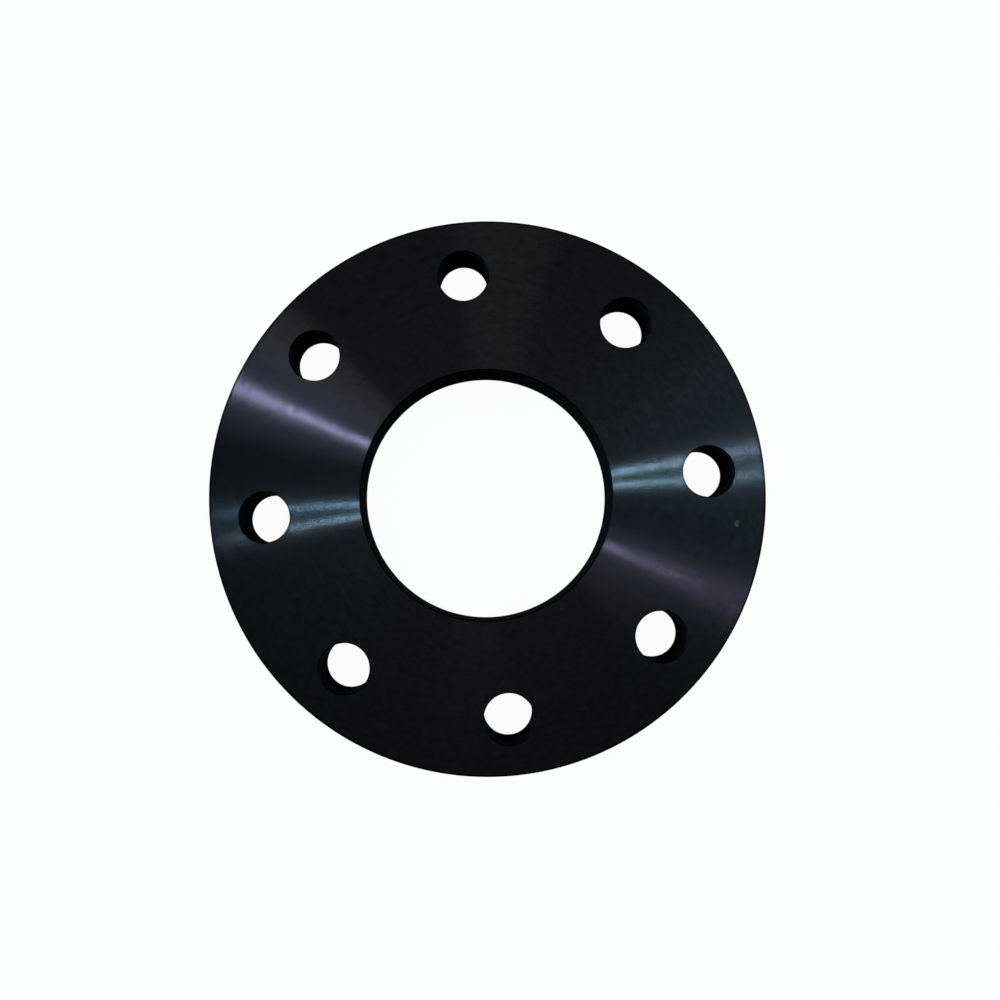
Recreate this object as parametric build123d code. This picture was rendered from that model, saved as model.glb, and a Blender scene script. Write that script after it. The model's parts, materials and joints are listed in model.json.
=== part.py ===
from build123d import *
import os

# Plate flange for pipe of 88.9 mm outside diameter: one flat disc of steel, turned all over,
# with a plain bore and a ring of drilled bolt holes. It lies flat on its back face.
# Millimetres. Z is the axis of the bore, Z = 0 is the back face, and the sealing face is on top.

# Driving dimensions
outside_diameter = 200.0
bore_diameter = 90.0
thickness = 20.0
bolt_hole_diameter = 18.0
bolt_hole_count = 8
edge_distance = 20.0  # from a bolt hole's centre out to the rim
rim_chamfer = 0.8
bore_chamfer = 0.5
bolt_hole_chamfer = 0.5

bolt_circle_diameter = outside_diameter - 2 * edge_distance

# The first hole stands half a pitch from +X, so that the holes straddle both centre lines.
first_bolt_hole_angle = 180.0 / bolt_hole_count

# Two circles count as the same size within this difference of radius.
radius_tolerance = 1e-4


def circles_of(solid, diameter):
    """The circular edges of the solid that have this diameter."""
    circles = solid.edges().filter_by(GeomType.CIRCLE)
    return circles.filter_by(lambda edge: abs(edge.radius - diameter / 2) < radius_tolerance)


def turned_disc():
    """The disc as it leaves the lathe: faced, bored, and with its rim and bore edges broken."""
    with BuildPart() as disc:
        with BuildSketch(Plane.XY):
            Circle(outside_diameter / 2)
            Circle(bore_diameter / 2, mode=Mode.SUBTRACT)
        extrude(amount=thickness)
        chamfer(circles_of(disc, outside_diameter), rim_chamfer)
        chamfer(circles_of(disc, bore_diameter), bore_chamfer)
    return disc.part


def drilled(disc):
    """The disc with its ring of bolt holes, each deburred on both faces."""
    with BuildPart() as flange:
        add(disc)
        with BuildSketch(Plane.XY):
            with PolarLocations(bolt_circle_diameter / 2, bolt_hole_count, first_bolt_hole_angle):
                Circle(bolt_hole_diameter / 2)
        extrude(amount=thickness, mode=Mode.SUBTRACT)
        chamfer(circles_of(flange, bolt_hole_diameter), bolt_hole_chamfer)
    return flange.part


flange_plate = drilled(turned_disc())
flange_plate.label = "flange_plate"

os.makedirs("parts", exist_ok=True)
export_step(flange_plate, "parts/flange_plate.step")
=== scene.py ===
import json
import math
import random

import bpy
import numpy as np
from mathutils import Matrix, Vector


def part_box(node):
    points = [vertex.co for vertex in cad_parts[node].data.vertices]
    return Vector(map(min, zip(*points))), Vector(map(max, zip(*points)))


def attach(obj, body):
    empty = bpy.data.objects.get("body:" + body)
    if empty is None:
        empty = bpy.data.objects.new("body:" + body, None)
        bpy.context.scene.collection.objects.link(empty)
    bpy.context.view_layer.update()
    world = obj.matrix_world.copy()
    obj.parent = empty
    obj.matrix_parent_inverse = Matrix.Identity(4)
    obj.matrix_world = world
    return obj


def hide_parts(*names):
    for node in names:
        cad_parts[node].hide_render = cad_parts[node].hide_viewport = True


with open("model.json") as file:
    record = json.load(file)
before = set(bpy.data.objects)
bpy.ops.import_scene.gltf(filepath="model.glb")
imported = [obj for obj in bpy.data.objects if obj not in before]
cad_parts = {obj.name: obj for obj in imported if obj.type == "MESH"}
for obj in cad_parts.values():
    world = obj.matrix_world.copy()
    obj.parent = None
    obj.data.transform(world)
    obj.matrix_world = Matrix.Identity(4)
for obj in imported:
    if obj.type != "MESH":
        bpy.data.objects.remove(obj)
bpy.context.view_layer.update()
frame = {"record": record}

# Everything is in metres, in the frame of the CAD part: Z is the bore's axis and the back face lies on Z = 0.
mm = 0.001

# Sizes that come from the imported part
mounts = {mount["name"]: mount for mount in frame["record"]["mounts"]}
low_corner, high_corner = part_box("flange_plate")
thickness = round(high_corner.z - low_corner.z, 5)
outer_radius = round((high_corner.x - low_corner.x) / 2, 4)
bore_radius = mounts["bore"]["dims"]["r_mm"] * mm
bore_chamfer = (thickness - mounts["bore"]["dims"]["length_mm"] * mm) / 2
bolt_circle_radius = mounts["bolt_circle"]["dims"]["pcd_mm"] * mm / 2
bolt_hole_count = mounts["bolt_circle"]["dims"]["count"]
bolt_hole_radius = mounts["bolt_circle"]["dims"]["hole_r_mm"] * mm

# Edges, as part.py breaks them
rim_chamfer = 0.8 * mm
bolt_hole_chamfer = 0.5 * mm
first_bolt_hole_angle = math.pi / bolt_hole_count

# Tool marks: shallow hollows in the mesh, and finer grooves and chatter that are only in the shading
mark_pitch = 0.8 * mm
mark_depth = 0.01 * mm
mark_wander = 0.25
groove_pitch = 0.11 * mm
groove_wander = 0.15
groove_room = 1.08
chatter_slope = 0.0025
random_seed = 11

# The nick on the face, seen in the photograph: a shallow hollow, longer along the tool marks than across them
nick_azimuth = math.radians(-6.7)
nick_distance = 90 * mm
nick_half_length = 1.2 * mm
nick_half_width = 0.9 * mm
nick_depth = 0.08 * mm
nick_brim = 1.5

# Fineness of the meshes
disc_segments = 192
hole_segments = 96
nick_segments = 24
nick_rings = 5

# The map that the finish is baked through: room between its parts, and a hole wall's share of its place
chart_gap = 1.5 * mm
hole_chart_share = 0.94

# The photograph's camera. It looks down on the face from a little off the axis.
photo_turn = math.radians(16.64)
camera_place = (-2.23 * mm, -21.70 * mm, 354.41 * mm)
camera_aim = (-8.53 * mm, -3.12 * mm, 20.0 * mm)
camera_lens = 33.65
camera_shift = (0.03795, 0.0032)

# Finishes of the surface, in the order of the material slots
FACE, RIM, BORE, EDGE, HOLE, HOLE_EDGE, NICK = range(7)

# Marks of the faces that the drill and the nick leave
HOLE_WALL, UPPER_HOLE_EDGE, LOWER_HOLE_EDGE, NICK_FLOOR = -1, -2, -3, -4


def from_photo(point):
    """A point or direction of the photograph's frame, x right and y up, turned into the part's frame."""
    return Matrix.Rotation(photo_turn, 3, "Z") @ Vector(point)


# The turned disc


def tool_marks(start, end, normal_angle, finish, dice):
    """Strips from start to end, both (radius, height), with one hollow for each turn of the tool's feed."""
    start, end = Vector(start), Vector(end)
    along = (end - start).normalized()
    out = Vector((math.cos(normal_angle), math.sin(normal_angle)))
    count = round((end - start).length / mark_pitch)
    step = (end - start).length / count
    strips = []
    for turn in range(count):
        hollow = mark_depth * (1 + mark_wander * dice.uniform(-1, 1))
        half = step / 2 * (1 + mark_wander * dice.uniform(-0.5, 0.5))
        crest = start + along * (turn * step)
        next_crest = start + along * ((turn + 1) * step)
        valley = crest + along * half - out * hollow
        down = math.atan(2 * hollow / half)
        up = math.atan(2 * hollow / (step - half))
        strips.append((crest, valley, normal_angle - down, normal_angle, finish))
        strips.append((valley, next_crest, normal_angle, normal_angle + up, finish))
    return strips


def edge_strip(start, end, normal_angle):
    return [(Vector(start), Vector(end), normal_angle, normal_angle, EDGE)]


def section_strips():
    """The strips of the disc's section, once round: up the bore, out, down the rim and in over the back."""
    dice = random.Random(random_seed)
    inner, outer, top = bore_radius, outer_radius, thickness
    inner_cut, outer_cut = bore_chamfer, rim_chamfer
    up, down, eighth = math.pi / 2, -math.pi / 2, math.pi / 4
    return (
        tool_marks((inner, inner_cut), (inner, top - inner_cut), math.pi, BORE, dice)
        + edge_strip((inner, top - inner_cut), (inner + inner_cut, top), up + eighth)
        + tool_marks((inner + inner_cut, top), (outer - outer_cut, top), up, FACE, dice)
        + edge_strip((outer - outer_cut, top), (outer, top - outer_cut), up - eighth)
        + tool_marks((outer, top - outer_cut), (outer, outer_cut), 0, RIM, dice)
        + edge_strip((outer, outer_cut), (outer - outer_cut, 0), down + eighth)
        + tool_marks((outer - outer_cut, 0), (inner + inner_cut, 0), down, FACE, dice)
        + edge_strip((inner + inner_cut, 0), (inner, inner_cut), down - eighth)
    )


def mark_faces(mesh, marks):
    layer = mesh.attributes.new("strip", "INT", "FACE")
    layer.data.foreach_set("value", np.asarray(marks, np.int32))


def disc_mesh(strips):
    """The disc without its holes, swept once round. Each face keeps the number of its strip."""
    count, segments = len(strips), disc_segments
    angle = np.arange(segments) * (2 * math.pi / segments)
    radius = np.array([strip[0].x for strip in strips])
    height = np.array([strip[0].y for strip in strips])
    points = np.empty((count, segments, 3))
    points[..., 0] = radius[:, None] * np.cos(angle)
    points[..., 1] = radius[:, None] * np.sin(angle)
    points[..., 2] = height[:, None]
    ring, step = np.meshgrid(np.arange(count), np.arange(segments), indexing="ij")
    next_ring, next_step = (ring + 1) % count, (step + 1) % segments
    corners = [ring * segments + step, next_ring * segments + step,
               next_ring * segments + next_step, ring * segments + next_step]
    mesh = bpy.data.meshes.new("turned_disc")
    mesh.from_pydata(points.reshape(-1, 3).tolist(), [], np.stack(corners, -1).reshape(-1, 4).tolist())
    mark_faces(mesh, np.repeat(np.arange(count), segments))
    return mesh


# The bolt holes


def hole_centres():
    pitch = 2 * math.pi / bolt_hole_count
    angles = [first_bolt_hole_angle + pitch * number for number in range(bolt_hole_count)]
    return [(bolt_circle_radius * math.cos(angle), bolt_circle_radius * math.sin(angle)) for angle in angles]


def drill_parts():
    """One closed cutter for each hole: a cylinder that flares at 45 degrees where the edge is broken."""
    over = 0.5 * mm
    wide = bolt_hole_radius + bolt_hole_chamfer + over
    rings = [(wide, -over), (bolt_hole_radius, bolt_hole_chamfer),
             (bolt_hole_radius, thickness - bolt_hole_chamfer), (wide, thickness + over)]
    marks = [LOWER_HOLE_EDGE, HOLE_WALL, UPPER_HOLE_EDGE]
    count = hole_segments
    points, faces, face_marks = [], [], []
    for x, y in hole_centres():
        first = len(points)
        for radius, height in rings:
            for step in range(count):
                angle = 2 * math.pi * step / count
                points.append((x + radius * math.cos(angle), y + radius * math.sin(angle), height))
        for ring, mark in enumerate(marks):
            low, high = first + ring * count, first + (ring + 1) * count
            for step in range(count):
                after = (step + 1) % count
                faces.append((low + step, low + after, high + after, high + step))
                face_marks.append(mark)
        last = first + (len(rings) - 1) * count
        faces.append(tuple(reversed(range(first, first + count))))
        faces.append(tuple(range(last, last + count)))
        face_marks += [HOLE_WALL, HOLE_WALL]
    return points, faces, face_marks


# The nick


def nick_axes():
    """The nick's centre on the face, and the directions along the tool marks and across them."""
    angle = nick_azimuth + photo_turn
    radial = Vector((math.cos(angle), math.sin(angle), 0))
    return radial * nick_distance + Vector((0, 0, thickness)), Vector((-radial.y, radial.x, 0)), radial


def nick_parts(first):
    """A closed cutter for the nick: a bowl with a flat lid above the face. first numbers its first point."""
    centre, along, radial = nick_axes()
    count = nick_segments
    points, faces = [], []
    for ring in range(1, nick_rings + 1):
        share = nick_brim * ring / nick_rings
        for step in range(count):
            angle = 2 * math.pi * step / count
            side = along * (nick_half_length * share * math.cos(angle))
            side += radial * (nick_half_width * share * math.sin(angle))
            points.append(tuple(centre + side + Vector((0, 0, nick_depth * (share ** 2 - 1)))))
    for ring in range(nick_rings - 1):
        low, high = first + ring * count, first + (ring + 1) * count
        for step in range(count):
            after = (step + 1) % count
            faces.append((low + step, high + step, high + after, low + after))
    last = first + (nick_rings - 1) * count
    faces.append(tuple(range(first, first + count)))
    faces.append(tuple(reversed(range(last, last + count))))
    return points, faces, [NICK_FLOOR] * len(faces)


def cutter_mesh():
    points, faces, marks = drill_parts()
    nick_points, nick_faces, nick_marks = nick_parts(len(points))
    mesh = bpy.data.meshes.new("cutters")
    mesh.from_pydata(points + nick_points, [], faces + nick_faces)
    mark_faces(mesh, marks + nick_marks)
    return mesh


def linked(name, mesh):
    thing = bpy.data.objects.new(name, mesh)
    bpy.context.scene.collection.objects.link(thing)
    return thing


def cut(name, disc, cutters):
    """The disc's mesh with the cutters taken away, as a new object. Both helpers are deleted."""
    body, cutter = linked("disc_helper", disc), linked("cutter_helper", cutters)
    modifier = body.modifiers.new("holes", "BOOLEAN")
    modifier.operation = "DIFFERENCE"
    modifier.solver = "EXACT"
    modifier.object = cutter
    depsgraph = bpy.context.evaluated_depsgraph_get()
    mesh = bpy.data.meshes.new_from_object(body.evaluated_get(depsgraph))
    mesh.name = name
    for helper in (body, cutter):
        bpy.data.objects.remove(helper)
    return linked(name, mesh)


# Shading normals and finishes, worked out from the form that each face belongs to


def share_of_strip(place, mark, strips):
    """How far along its strip of the section each corner lies, 0 to 1."""
    start, end = (np.array([tuple(strip[side]) for strip in strips])[mark] for side in (0, 1))
    section = np.stack([np.hypot(place[:, 0], place[:, 1]), place[:, 2]], -1)
    square = ((end - start) ** 2).sum(-1)
    return np.clip(((section - start) * (end - start)).sum(-1) / square, 0, 1)


def nearest_hole(place):
    """The number of the hole nearest to each place, and that hole's centre."""
    centres = np.array(hole_centres())
    nearest = ((place[:, None, :2] - centres) ** 2).sum(-1).argmin(-1)
    return nearest, centres[nearest]


def unit(vectors):
    return vectors / np.linalg.norm(vectors, axis=-1, keepdims=True)


def turned_normals(place, mark, strips):
    angles = np.array([strip[2:4] for strip in strips])[mark]
    angle = angles[:, 0] + (angles[:, 1] - angles[:, 0]) * share_of_strip(place, mark, strips)
    return np.concatenate([unit(place[:, :2]) * np.cos(angle)[:, None], np.sin(angle)[:, None]], -1)


def hole_normals(place, mark):
    inward = unit(nearest_hole(place)[1] - place[:, :2])
    tilt = np.select([mark == UPPER_HOLE_EDGE, mark == LOWER_HOLE_EDGE], [1.0, -1.0], 0.0)
    return unit(np.concatenate([inward, tilt[:, None]], -1))


def nick_normals(place):
    middle, along, radial = (np.array(vector) for vector in nick_axes())
    offset = place - middle
    lean = (offset @ along)[:, None] * along / nick_half_length ** 2
    lean += (offset @ radial)[:, None] * radial / nick_half_width ** 2
    return unit(np.array((0, 0, 1)) - 2 * nick_depth * lean)


def corner_normals(place, mark, strips):
    """The true surface's normal at each face corner."""
    normals = turned_normals(place, mark, strips)
    nicked = mark == NICK_FLOOR
    drilled = (mark < 0) & ~nicked
    normals[drilled] = hole_normals(place[drilled], mark[drilled])
    normals[nicked] = nick_normals(place[nicked])
    return normals


# The map that the finish is baked through when the model is exported


def turn_about(middle, place, face_place):
    """How far round the middle each corner lies, 0 to 1, on the same side of the seam as its face."""
    corner, face = place[:, :2] - middle, face_place[:, :2] - middle
    near = np.arctan2(face[:, 1], face[:, 0]) / math.tau % 1
    return near + (np.arctan2(corner[:, 1], corner[:, 0]) / math.tau - near + 0.5) % 1 - 0.5


def chart(place, face_place, mark, strips):
    """Each corner's place on the map. One side of it is a turn round the part and the other is the way along
    the section, so that the tool marks are level lines. The hole walls stand in a row above."""
    lengths = np.array([(strip[1] - strip[0]).length for strip in strips])
    reached = np.cumsum(lengths) - lengths
    along = reached[mark] + share_of_strip(place, mark, strips) * lengths[mark]
    nicked = mark == NICK_FLOOR
    tops = [number for number, strip in enumerate(strips) if strip[4] == FACE and strip[0].y > thickness / 2]
    radius = np.hypot(place[nicked, 0], place[nicked, 1])
    along[nicked] = np.interp(radius, [strips[number][0].x for number in tops], reached[tops])
    around = turn_about(np.zeros(2), place, face_place)

    drilled = (mark < 0) & ~nicked
    number, centre = nearest_hole(face_place[drilled])
    turn = turn_about(centre, place[drilled], face_place[drilled])
    around[drilled] = (number + 0.5 + (turn - 0.5) * hole_chart_share) / bolt_hole_count
    along[drilled] = lengths.sum() + chart_gap + place[drilled, 2]
    whole = lengths.sum() + thickness + 3 * chart_gap
    return np.stack([1 - around, (along + chart_gap) / whole], -1)


def dress_surface(mesh, strips):
    """Gives each face its finish and each corner its normal and its place on the map."""
    marks = np.empty(len(mesh.polygons), np.int32)
    mesh.attributes["strip"].data.foreach_get("value", marks)
    finishes = np.array([strip[4] for strip in strips])[marks]
    finishes[marks == HOLE_WALL] = HOLE
    finishes[marks < HOLE_WALL] = HOLE_EDGE
    finishes[marks == NICK_FLOOR] = NICK
    mesh.polygons.foreach_set("material_index", finishes.astype(np.int32))
    mesh.polygons.foreach_set("use_smooth", np.ones(len(marks), bool))

    sizes = np.empty(len(marks), np.int32)
    mesh.polygons.foreach_get("loop_total", sizes)
    vertices = np.empty(len(mesh.loops), np.int32)
    mesh.loops.foreach_get("vertex_index", vertices)
    points = np.empty(len(mesh.vertices) * 3)
    mesh.vertices.foreach_get("co", points)
    place = points.reshape(-1, 3)[vertices]
    centres = np.empty(len(marks) * 3)
    mesh.polygons.foreach_get("center", centres)
    face_place = np.repeat(centres.reshape(-1, 3), sizes, axis=0)
    layer = mesh.uv_layers.new(name="OFBake")
    layer.data.foreach_set("uv", chart(place, face_place, np.repeat(marks, sizes), strips).ravel())
    mesh.normals_split_custom_set(corner_normals(place, np.repeat(marks, sizes), strips).tolist())
    mesh.attributes.remove(mesh.attributes["strip"])


# Materials

turned_tone = (0.045, 0.046, 0.052)
# Tones of the bore and hole walls and of the broken edges: painted shade. They are the steel's own
# near-black, darkened far below the turned face to stand for the shade in the bore, in the holes and on their
# edges
painted_shade_wall_tone = (0.008, 0.008, 0.009)
painted_shade_edge_tone = (0.0025, 0.0025, 0.003)
bare_tone = (0.055, 0.053, 0.056)

# Sizes of the unevenness of the turned finish
band_size = 2.5 * mm
grain_size = 2.5 * mm
tearing_size = 1.1 * mm
fleck_length = 3 * mm
fleck_width = 1.6 * mm

# How far it makes the tone lighter and darker, and the roughness and the grooves' depth more and less
grain_tones = (0.88, 1.12)
fleck_tones = (0.85, 1.18)
grain_roughness = 0.008
fleck_roughness = 0.026
tearing_depths = (0.92, 1.08)

# The same for the cut steel of the walls, edges and nick, whose tone on the walls and edges is painted shade
cut_steel_patch_size = 4 * mm
cut_steel_tones = (0.7, 1.3)
cut_steel_roughness = 0.06


def add_node(tree, kind, inputs=None, **settings):
    """Adds a shader node. An input that is a socket is linked, and any other is set."""
    node = tree.nodes.new("ShaderNode" + kind)
    for name, value in settings.items():
        setattr(node, name, value)
    for name, value in (inputs or {}).items():
        if isinstance(value, bpy.types.NodeSocket):
            tree.links.new(value, node.inputs[name])
        else:
            node.inputs[name].default_value = value
    return node


def math_node(tree, operation, *values):
    node = add_node(tree, "Math", operation=operation)
    for socket, value in zip(node.inputs, values):
        if isinstance(value, bpy.types.NodeSocket):
            tree.links.new(value, socket)
        else:
            socket.default_value = value
    return node.outputs[0]


def vector_node(tree, operation, *values):
    node = add_node(tree, "VectorMath", operation=operation)
    for socket, value in zip(node.inputs, values):
        if isinstance(value, bpy.types.NodeSocket):
            tree.links.new(value, socket)
        else:
            socket.default_value = value
    return node.outputs["Value" if operation in ("LENGTH", "DOT_PRODUCT", "DISTANCE") else "Vector"]


def scaled(tree, vector, factor):
    node = add_node(tree, "VectorMath", {"Vector": vector, "Scale": factor}, operation="SCALE")
    return node.outputs["Vector"]


def new_material(name):
    material = bpy.data.materials.new(name)
    material.use_nodes = True
    return material, material.node_tree, material.node_tree.nodes["Principled BSDF"]


def lathe_coordinate(tree):
    """Radius plus height: the way that the tool moved, on the faces and on the cylinders alike."""
    place = add_node(tree, "TexCoord").outputs["Object"]
    height = add_node(tree, "SeparateXYZ", {"Vector": place}).outputs["Z"]
    flat = vector_node(tree, "MULTIPLY", place, (1, 1, 0))
    radius = vector_node(tree, "LENGTH", flat)
    return place, radius, math_node(tree, "ADD", radius, height)


def rings(tree, coordinate, size, detail=1.0):
    """Noise that changes only across the tool marks, about 0 to 1."""
    inputs = {"W": coordinate, "Scale": 1 / size, "Detail": detail, "Roughness": 0.6}
    return add_node(tree, "TexNoise", inputs, noise_dimensions="1D").outputs[0]


def patches(tree, place, size):
    inputs = {"Vector": place, "Scale": 1 / size, "Detail": 3.0, "Roughness": 0.55}
    return add_node(tree, "TexNoise", inputs, noise_dimensions="3D").outputs[0]


def flecks(tree, place, coordinate):
    """Patches that are longer along the tool marks than across them, about 0 to 1."""
    flat = vector_node(tree, "NORMALIZE", vector_node(tree, "MULTIPLY", place, (1, 1, 0)))
    turned = scaled(tree, flat, bolt_circle_radius / fleck_length)
    across = add_node(tree, "CombineXYZ", {"Z": math_node(tree, "DIVIDE", coordinate, fleck_width)})
    spot = vector_node(tree, "ADD", turned, across.outputs["Vector"])
    inputs = {"Vector": spot, "Scale": 1.0, "Detail": 1.0, "Roughness": 0.5}
    return add_node(tree, "TexNoise", inputs, noise_dimensions="3D").outputs[0]


def remap(tree, value, low, high, from_low=0.25, from_high=0.75):
    """Spreads the middle half of a noise, or another range of a value, over low to high."""
    inputs = {"Value": value, "From Min": from_low, "From Max": from_high, "To Min": low, "To Max": high}
    return add_node(tree, "MapRange", inputs, clamp=True).outputs[0]


def groove_slopes(tree, coordinate, spread):
    """The slope across the finest grooves: slight in each hollow and steep at the torn crests beside it."""
    turns = math_node(tree, "DIVIDE", coordinate, groove_pitch)
    share = math_node(tree, "MULTIPLY_ADD", math_node(tree, "FRACT", turns), 2.0, -1.0)
    room = math_node(tree, "SUBTRACT", groove_room, math_node(tree, "MULTIPLY", share, share))
    slope = math_node(tree, "DIVIDE", share, math_node(tree, "SQRT", room))
    number = math_node(tree, "FLOOR", turns)
    chance = add_node(tree, "TexWhiteNoise", {"W": number}, noise_dimensions="1D").outputs["Value"]
    uneven = remap(tree, chance, 1 - groove_wander, 1 + groove_wander, 0, 1)
    return math_node(tree, "MULTIPLY", math_node(tree, "MULTIPLY", slope, uneven), spread)


def grooved_normal(tree, coordinate, radius, tangent, flecked, spread):
    """The normal, rocked across the tool marks by the finest grooves, and a little along them by chatter."""
    normal = add_node(tree, "NewGeometry").outputs["Normal"]
    across = vector_node(tree, "CROSS_PRODUCT", normal, tangent)
    depth = remap(tree, rings(tree, coordinate, tearing_size), *tearing_depths)
    depth = math_node(tree, "MULTIPLY", remap(tree, radius, *spread, bore_radius, outer_radius), depth)
    lean = scaled(tree, across, groove_slopes(tree, coordinate, depth))
    roll = scaled(tree, tangent, remap(tree, flecked, -chatter_slope, chatter_slope))
    leaning = vector_node(tree, "ADD", vector_node(tree, "ADD", normal, lean), roll)
    return vector_node(tree, "NORMALIZE", leaning)


def turned_metal(name, tone, roughness, spread, banding):
    """Turned steel: it shines along one line for each light, across the tool marks. tone, roughness and
    spread are pairs, the values at the bore and at the rim, and banding is the contrast of the rings."""
    material, tree, shader = new_material(name)
    place, radius, coordinate = lathe_coordinate(tree)
    bands = rings(tree, coordinate, band_size, 2.0)
    grain = patches(tree, place, grain_size)
    flecked = flecks(tree, place, coordinate)
    tangent = add_node(tree, "Tangent", direction_type="RADIAL", axis="Z").outputs["Tangent"]
    normal = grooved_normal(tree, coordinate, radius, tangent, flecked, spread)

    light = remap(tree, radius, *tone, bore_radius, outer_radius)
    light = math_node(tree, "MULTIPLY", remap(tree, grain, *grain_tones), light)
    light = math_node(tree, "MULTIPLY", remap(tree, bands, 1 - banding, 1 + banding), light)
    light = math_node(tree, "MULTIPLY", remap(tree, flecked, *fleck_tones), light)
    rough = remap(tree, radius, *roughness, bore_radius, outer_radius)
    rough = math_node(tree, "ADD", rough, remap(tree, grain, -grain_roughness, grain_roughness))
    rough = math_node(tree, "ADD", rough, remap(tree, flecked, fleck_roughness, -fleck_roughness))

    tree.links.new(scaled(tree, turned_tone, light), shader.inputs["Base Color"])
    tree.links.new(rough, shader.inputs["Roughness"])
    tree.links.new(normal, shader.inputs["Normal"])
    tree.links.new(tangent, shader.inputs["Tangent"])
    shader.inputs["Metallic"].default_value = 1.0
    shader.inputs["Anisotropic"].default_value = 1.0
    shader.inputs["Anisotropic Rotation"].default_value = 0.25
    return material


def cut_steel(name, tone, roughness, tint):
    """Cut steel with patchy tone and roughness; the near-black tones that the walls and edges get are painted
    shade. tint, 0 to 1, is how much it gleams where seen edge on.
    """
    material, tree, shader = new_material(name)
    place = add_node(tree, "TexCoord").outputs["Object"]
    soft = patches(tree, place, cut_steel_patch_size)
    rough = remap(tree, soft, roughness - cut_steel_roughness, roughness + cut_steel_roughness)
    tree.links.new(scaled(tree, tone, remap(tree, soft, *cut_steel_tones)), shader.inputs["Base Color"])
    tree.links.new(rough, shader.inputs["Roughness"])
    shader.inputs["Metallic"].default_value = 1.0
    shader.inputs["Specular Tint"].default_value = (tint, tint, tint, 1)
    return material


plate_strips = section_strips()
plate = cut("plate_turned", disc_mesh(plate_strips), cutter_mesh())
dress_surface(plate.data, plate_strips)
for material in (
    turned_metal("turned_face", (1.0, 0.89), (0.187, 0.172), (0.277, 0.078), 0.04),
    turned_metal("turned_rim", (0.9, 0.9), (0.25, 0.25), (0.15, 0.15), 0.16),
    # The walls and broken edges get painted shade: tones far darker than the turned face, for the shade in
    # the bore and holes
    cut_steel("bored_wall", painted_shade_wall_tone, 0.7, 0.0),
    cut_steel("broken_edge", painted_shade_edge_tone, 0.5, 0.0),
    cut_steel("drilled_wall", painted_shade_wall_tone, 0.7, 0.0),
    cut_steel("drilled_edge", painted_shade_edge_tone, 0.5, 0.0),
    cut_steel("bare_nick", bare_tone, 0.5, 1.0),
):
    plate.data.materials.append(material)
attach(plate, "root")
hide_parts("flange_plate")


# Floor, world and lamps


def background_rays(tree):
    """Two sockets, 1 or 0: is it a ray from the camera, and is it one that a mirror or glass sends on."""
    path = add_node(tree, "LightPath").outputs
    mirrored = math_node(tree, "MAXIMUM", path["Is Glossy Ray"], path["Is Transmission Ray"])
    return path["Is Camera Ray"], mirrored


def make_floor():
    size, glow, paint = 6.0, 0.96, 0.85
    mesh = bpy.data.meshes.new("floor")
    corners = [(-size, -size, 0), (size, -size, 0), (size, size, 0), (-size, size, 0)]
    mesh.from_pydata(corners, [], [(0, 1, 2, 3)])
    floor = linked("floor", mesh)
    material, tree, shader = new_material("floor_white")
    shader.inputs["Base Color"].default_value = (paint, paint, paint, 1)
    shader.inputs["Roughness"].default_value = 1.0
    shader.inputs["Specular IOR Level"].default_value = 0.0
    white = add_node(tree, "Emission", {"Color": (1, 1, 1, 1), "Strength": 1.0}).outputs[0]
    share = math_node(tree, "MULTIPLY", math_node(tree, "MAXIMUM", *background_rays(tree)), glow)
    mix = add_node(tree, "MixShader", {"Fac": share})
    tree.links.new(shader.outputs[0], mix.inputs[1])
    tree.links.new(white, mix.inputs[2])
    tree.links.new(mix.outputs[0], tree.nodes["Material Output"].inputs["Surface"])
    mesh.materials.append(material)


def make_world(level, white_below, plain_above):
    """Plain light all round. The camera sees it white, and so does metal where it mirrors the backdrop, low
    down. white_below and plain_above are heights of a ray's direction, 0 at the horizon and 1 overhead."""
    world = bpy.data.worlds.new("studio")
    world.use_nodes = True
    bpy.context.scene.world = world
    tree = world.node_tree
    plain = tree.nodes["Background"]
    plain.inputs["Color"].default_value = (1, 1, 1, 1)
    plain.inputs["Strength"].default_value = level
    white = add_node(tree, "Background", {"Color": (1, 1, 1, 1), "Strength": 1.0}).outputs[0]
    seen, mirrored = background_rays(tree)
    direction = add_node(tree, "TexCoord").outputs["Generated"]
    height = add_node(tree, "SeparateXYZ", {"Vector": direction}).outputs["Z"]
    low = remap(tree, height, 1.0, 0.0, white_below, plain_above)
    share = math_node(tree, "MAXIMUM", seen, math_node(tree, "MULTIPLY", mirrored, low))
    mix = add_node(tree, "MixShader", {"Fac": share})
    tree.links.new(plain.outputs[0], mix.inputs[1])
    tree.links.new(white, mix.inputs[2])
    tree.links.new(mix.outputs[0], tree.nodes["World Output"].inputs["Surface"])


lamp_distance = 2.0
face_centre = Vector((0, 0, thickness))


def area_lamp(name, direction, across, height_angle, width_angle, colour, light):
    """A rectangular lamp that faces the middle of the face. light is what falls on a surface square to it."""
    direction = direction.normalized()
    across = (across - direction * across.dot(direction)).normalized()
    upward = direction.cross(across)
    data = bpy.data.lights.new(name, "AREA")
    data.shape = "RECTANGLE"
    data.size = 2 * lamp_distance * math.tan(math.radians(width_angle) / 2)
    data.size_y = 2 * lamp_distance * math.tan(math.radians(height_angle) / 2)
    data.color = colour
    data.energy = light * math.pi * lamp_distance ** 2
    lamp = bpy.data.objects.new(name, data)
    bpy.context.scene.collection.objects.link(lamp)
    lamp.matrix_world = Matrix.Translation(face_centre + direction * lamp_distance) @ Matrix(
        (across, upward, direction)).transposed().to_4x4()
    lamp.visible_camera = False


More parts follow.
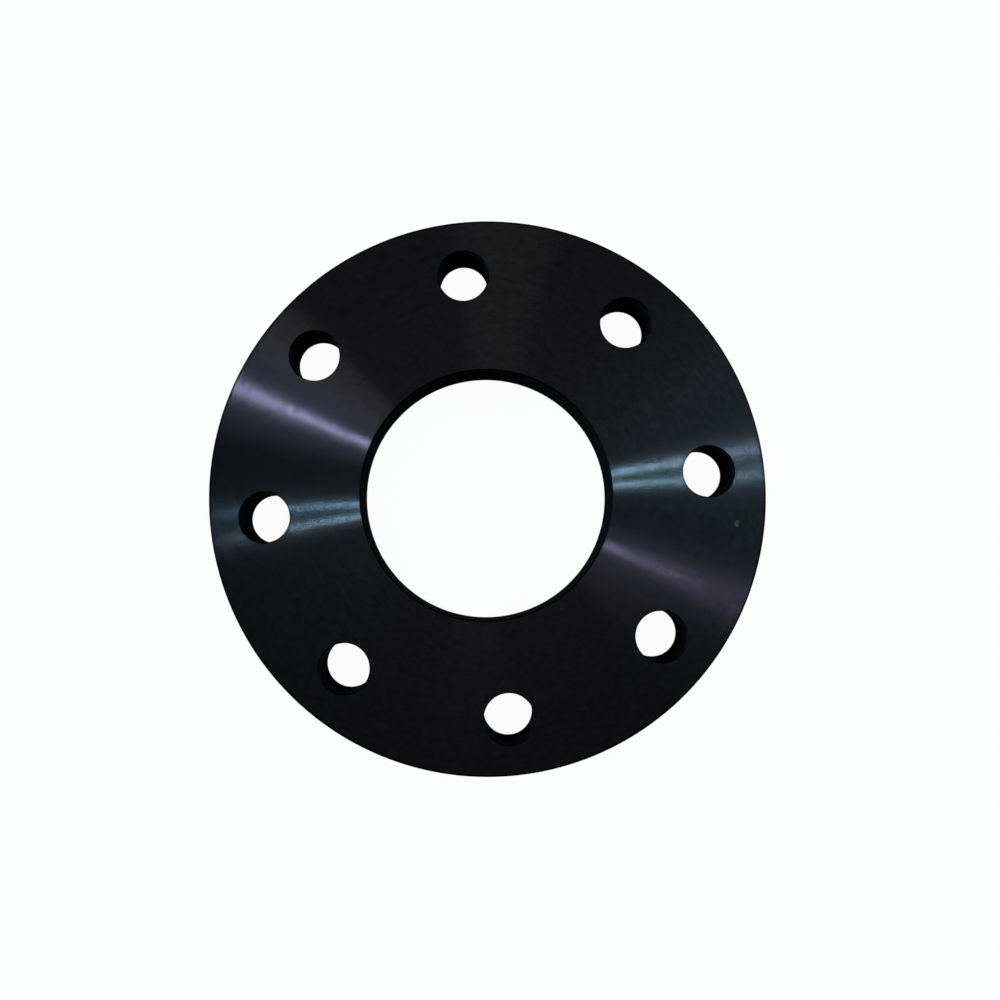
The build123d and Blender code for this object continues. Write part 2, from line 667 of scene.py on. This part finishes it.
def streak_lamp(name, azimuth, zenith, height_angle, width_angle, colour, light):
    """A lamp that the camera sees in the tool marks as a line at this azimuth of the photograph."""
    angle = math.radians(azimuth) + photo_turn
    radial = Vector((math.cos(angle), math.sin(angle), 0))
    tangent = Vector((-math.sin(angle), math.cos(angle), 0))
    to_camera = (from_photo(camera_place) - face_centre).normalized()
    sideways = -to_camera.dot(tangent)
    upward = math.cos(math.radians(zenith))
    outward = math.sqrt(1 - sideways ** 2 - upward ** 2)
    direction = radial * outward + tangent * sideways + Vector((0, 0, upward))
    area_lamp(name, direction, tangent, height_angle, width_angle, colour, light)


make_floor()
make_world(0.105, 0.12, 0.3)
streak_lamp("teal_strip_low", 3.75, 55, 24, 1.2, (0.54, 0.88, 1.0), 0.84)
streak_lamp("teal_strip_high", 9.2, 55, 24, 1.2, (0.54, 0.81, 1.0), 1.05)
streak_lamp("teal_left_low", 184.5, 68, 24, 1.2, (0.36, 0.7, 1.0), 1.57)
streak_lamp("teal_left_high", 189.95, 68, 24, 1.2, (0.5, 0.84, 1.0), 1.42)
streak_lamp("teal_between", 6.6, 55, 24, 4.7, (0.1, 1.0, 0.79), 0.09)
streak_lamp("teal_above", 18, 23, 30, 12, (0.66, 0.9, 1.0), 0.039)
streak_lamp("teal_below", 351, 23, 30, 14, (0.48, 0.85, 1.0), 0.03)
streak_lamp("violet_strip", 156.9, 48, 30, 1.5, (0.74, 0.69, 1.0), 0.92)
streak_lamp("violet_step", 143.5, 47, 30, 9, (1.0, 0.94, 0.88), 0.147)
streak_lamp("violet_glow", 155.5, 47, 30, 14, (0.64, 0.62, 1.0), 0.27)
streak_lamp("violet_right", 336.6, 24, 24, 3, (0.85, 0.66, 1.0), 0.031)
streak_lamp("top_right", 58, 48, 40, 40, (1.0, 0.87, 0.88), 0.095)
streak_lamp("top_narrow", 86, 48, 40, 12, (1.0, 1.0, 0.85), 0.053)
streak_lamp("top_left", 116, 48, 40, 34, (1.0, 0.97, 1.0), 0.069)


# Camera


def make_camera():
    place, aim = from_photo(camera_place), from_photo(camera_aim)
    back = (place - aim).normalized()
    right = from_photo((0, 1, 0)).cross(back).normalized()
    up = back.cross(right)
    data = bpy.data.cameras.new("camera")
    data.lens = camera_lens
    data.sensor_width = 36
    data.shift_x, data.shift_y = camera_shift
    data.clip_start = 0.01
    data.clip_end = 100
    camera = bpy.data.objects.new("camera", data)
    bpy.context.scene.collection.objects.link(camera)
    camera.matrix_world = Matrix.Translation(place) @ Matrix((right, up, back)).transposed().to_4x4()
    bpy.context.scene.camera = camera


make_camera()
bpy.context.scene.view_settings.view_transform = "Standard"
